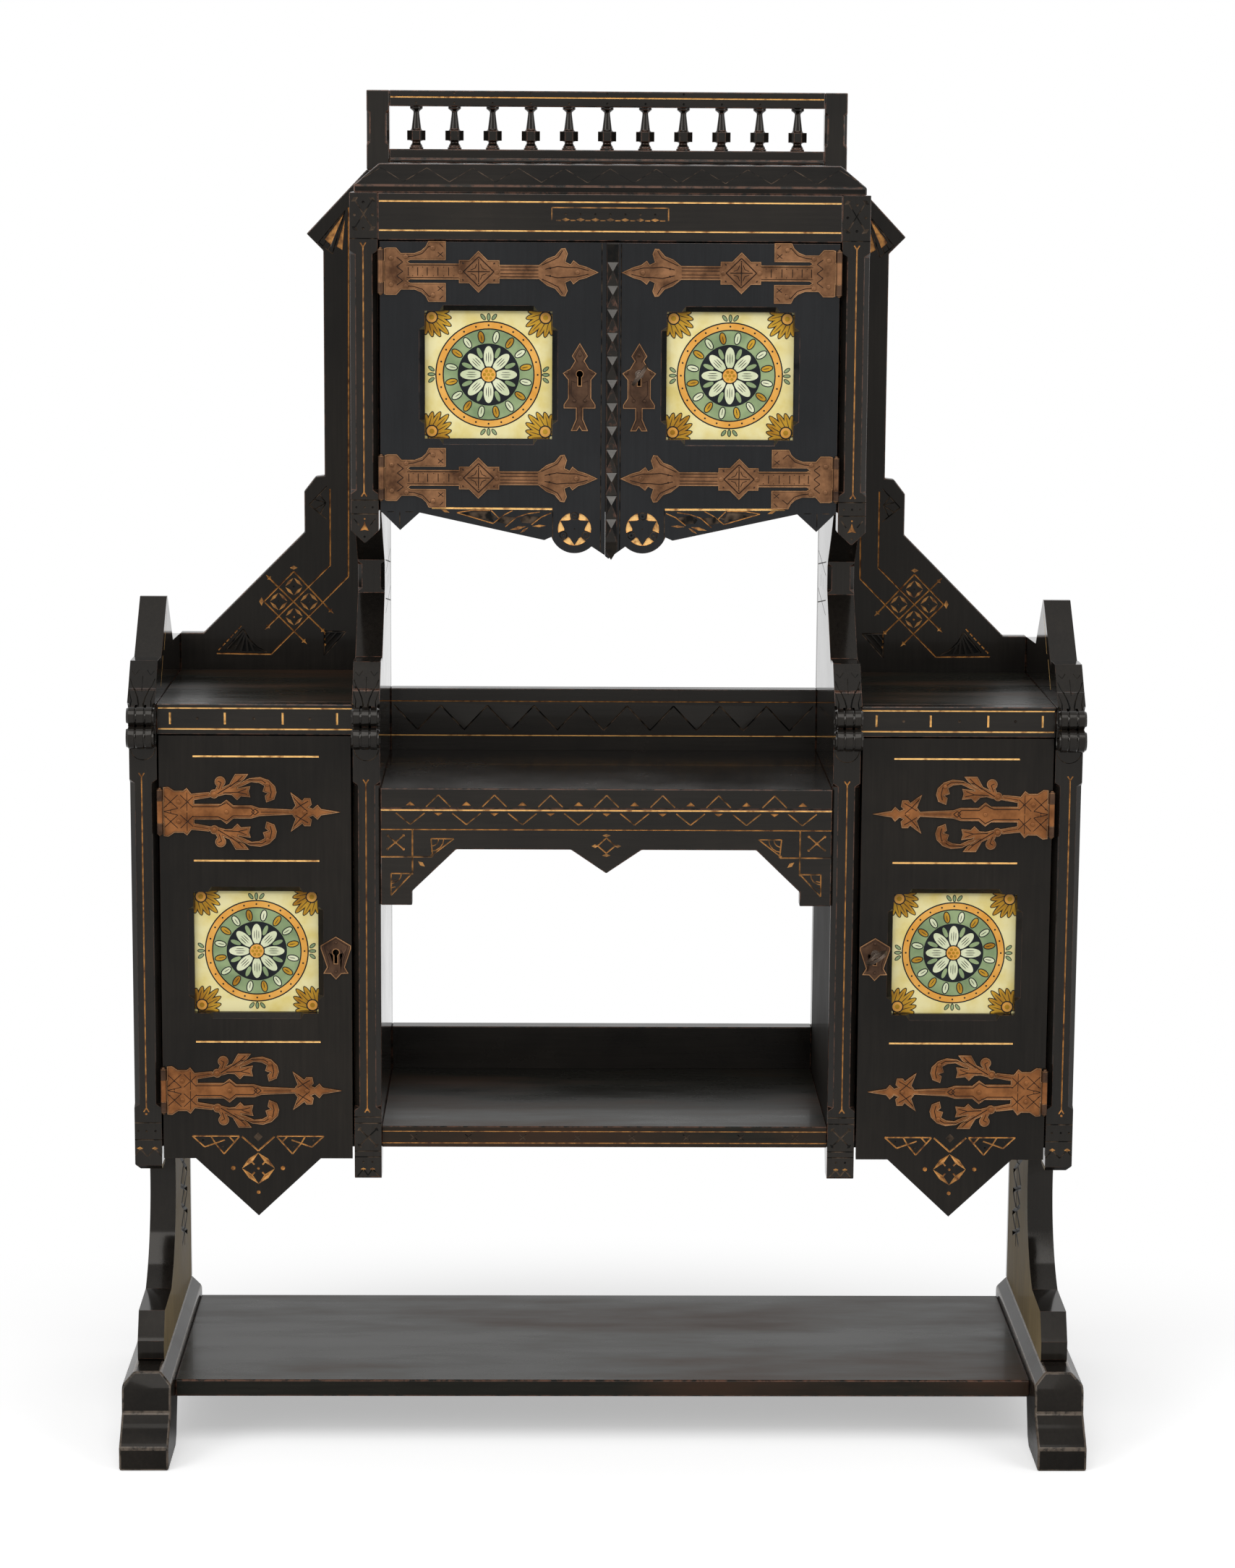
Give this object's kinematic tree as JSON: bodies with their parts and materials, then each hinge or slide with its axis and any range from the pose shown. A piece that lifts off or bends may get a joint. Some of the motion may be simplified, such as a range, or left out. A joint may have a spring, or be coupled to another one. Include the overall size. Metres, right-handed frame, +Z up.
{
  "type": "cabinet",
  "caption": "Ebonised cabinet on sledge feet: low side cupboards with shaped doors, open centre shelves, upper tiled cupboard, strap hinges, turning keys, spindle gallery.",
  "frame": {"origin": "on the floor, under the middle of the whole object's bounding box", "axes": "+Z up, the front looks along -Y, +X to the right of somebody who faces the front"},
  "size_m": [1.1556, 0.448, 1.6264],
  "materials": {
    "ebonised_wood": "satin ebonised wood with gilt incised lines",
    "copper": "brown patinated copper alloy",
    "steel": "dull dark steel",
    "brass": "dull brass",
    "tile": "glossy glaze in cream, orange, green grey and black",
    "backing": "bare brown wood"
  },
  "bodies": {
    "case": {"foot_left": "ebonised_wood", "foot_right": "ebonised_wood", "outer_side_left": "ebonised_wood", "outer_side_right": "ebonised_wood", "inner_upright_left": "ebonised_wood", "inner_upright_right": "ebonised_wood", "bottom_shelf": "ebonised_wood", "side_top_left": "ebonised_wood", "side_top_right": "ebonised_wood", "fascia_left": "ebonised_wood", "fascia_right": "ebonised_wood", "cupboard_floor_left": "ebonised_wood", "cupboard_floor_right": "ebonised_wood", "back_board_left": "ebonised_wood", "back_board_right": "ebonised_wood", "lower_shelf": "ebonised_wood", "lower_back_rail": "ebonised_wood", "middle_shelf": "ebonised_wood", "shelf_apron": "ebonised_wood", "upper_back_rail": "ebonised_wood", "upper_floor": "ebonised_wood", "upper_back": "ebonised_wood", "frieze": "ebonised_wood", "cornice": "ebonised_wood", "gallery_top_rail": "ebonised_wood", "gallery_bottom_rail": "ebonised_wood", "gallery_stiles": "ebonised_wood", "spindle_row": "ebonised_wood", "hinge_leaves": "copper"},
    "upper_left_leaf": {"upper_door_left": "ebonised_wood", "upper_tile_left": "tile", "upper_tile_back_left": "backing", "upper_straps_left": "copper", "upper_escutcheon_left": "copper", "door_bolt_plate": "steel"},
    "upper_right_leaf": {"upper_door_right": "ebonised_wood", "upper_tile_right": "tile", "upper_tile_back_right": "backing", "upper_straps_right": "copper", "upper_escutcheon_right": "copper", "astragal": "ebonised_wood", "upper_lock": "steel"},
    "lower_left_leaf": {"lower_door_left": "ebonised_wood", "lower_tile_left": "tile", "lower_tile_back_left": "backing", "lower_straps_left": "copper", "lower_escutcheon_left": "copper", "lower_lock_left": "steel"},
    "lower_right_leaf": {"lower_door_right": "ebonised_wood", "lower_tile_right": "tile", "lower_tile_back_right": "backing", "lower_straps_right": "copper", "lower_escutcheon_right": "copper", "lower_lock_right": "steel"},
    "upper_bolt": {"upper_lock_bolt": "brass"},
    "lower_left_bolt": {"lower_lock_bolt_left": "brass"},
    "lower_right_bolt": {"lower_lock_bolt_right": "brass"},
    "upper_key": {"upper_key": "steel"},
    "lower_key": {"lower_key": "steel"},
    "door_bolt": {"door_bolt": "steel"}
  },
  "joints": [
    {"name": "upper_left_hinge", "type": "hinge", "parent": "case", "child": "upper_left_leaf", "pos_m": [-0.2647, -0.1397, 1.2975], "axis": [0, 0, -1], "range_deg": [0, 160]},
    {"name": "upper_right_hinge", "type": "hinge", "parent": "case", "child": "upper_right_leaf", "pos_m": [0.2647, -0.1397, 1.2975], "axis": [0, 0, 1], "range_deg": [0, 160]},
    {"name": "lower_left_hinge", "type": "hinge", "parent": "case", "child": "lower_left_leaf", "pos_m": [-0.5282, -0.1297, 0.6115], "axis": [0, 0, -1], "range_deg": [0, 100]},
    {"name": "lower_right_hinge", "type": "hinge", "parent": "case", "child": "lower_right_leaf", "pos_m": [0.5282, -0.1297, 0.6115], "axis": [0, 0, 1], "range_deg": [0, 100]},
    {"name": "upper_key_turn", "type": "hinge", "parent": "upper_right_leaf", "child": "upper_key", "pos_m": [0.0345, -0.126, 1.2995], "axis": [0, -1, 0], "range_deg": [0, 100]},
    {"name": "lower_key_turn", "type": "hinge", "parent": "lower_right_leaf", "child": "lower_key", "pos_m": [0.3215, -0.116, 0.6115], "axis": [0, -1, 0], "range_deg": [0, 100]},
    {"name": "upper_bolt_slide", "type": "slide", "parent": "upper_right_leaf", "child": "upper_bolt", "axis": [-1, 0, 0], "range_m": [0, 0.012]},
    {"name": "lower_right_bolt_slide", "type": "slide", "parent": "lower_right_leaf", "child": "lower_right_bolt", "axis": [-1, 0, 0], "range_m": [0, 0.012]},
    {"name": "lower_left_bolt_slide", "type": "slide", "parent": "lower_left_leaf", "child": "lower_left_bolt", "axis": [1, 0, 0], "range_m": [0, 0.012]},
    {"name": "door_bolt_slide", "type": "slide", "parent": "upper_left_leaf", "child": "door_bolt", "axis": [0, 0, 1], "range_m": [0, 0.014]}
  ],
  "couplings": [
    {"joint": "upper_bolt_slide", "follows": "upper_key_turn", "m_per_rad": 0.006875},
    {"joint": "lower_right_bolt_slide", "follows": "lower_key_turn", "m_per_rad": 0.006875}
  ]
}
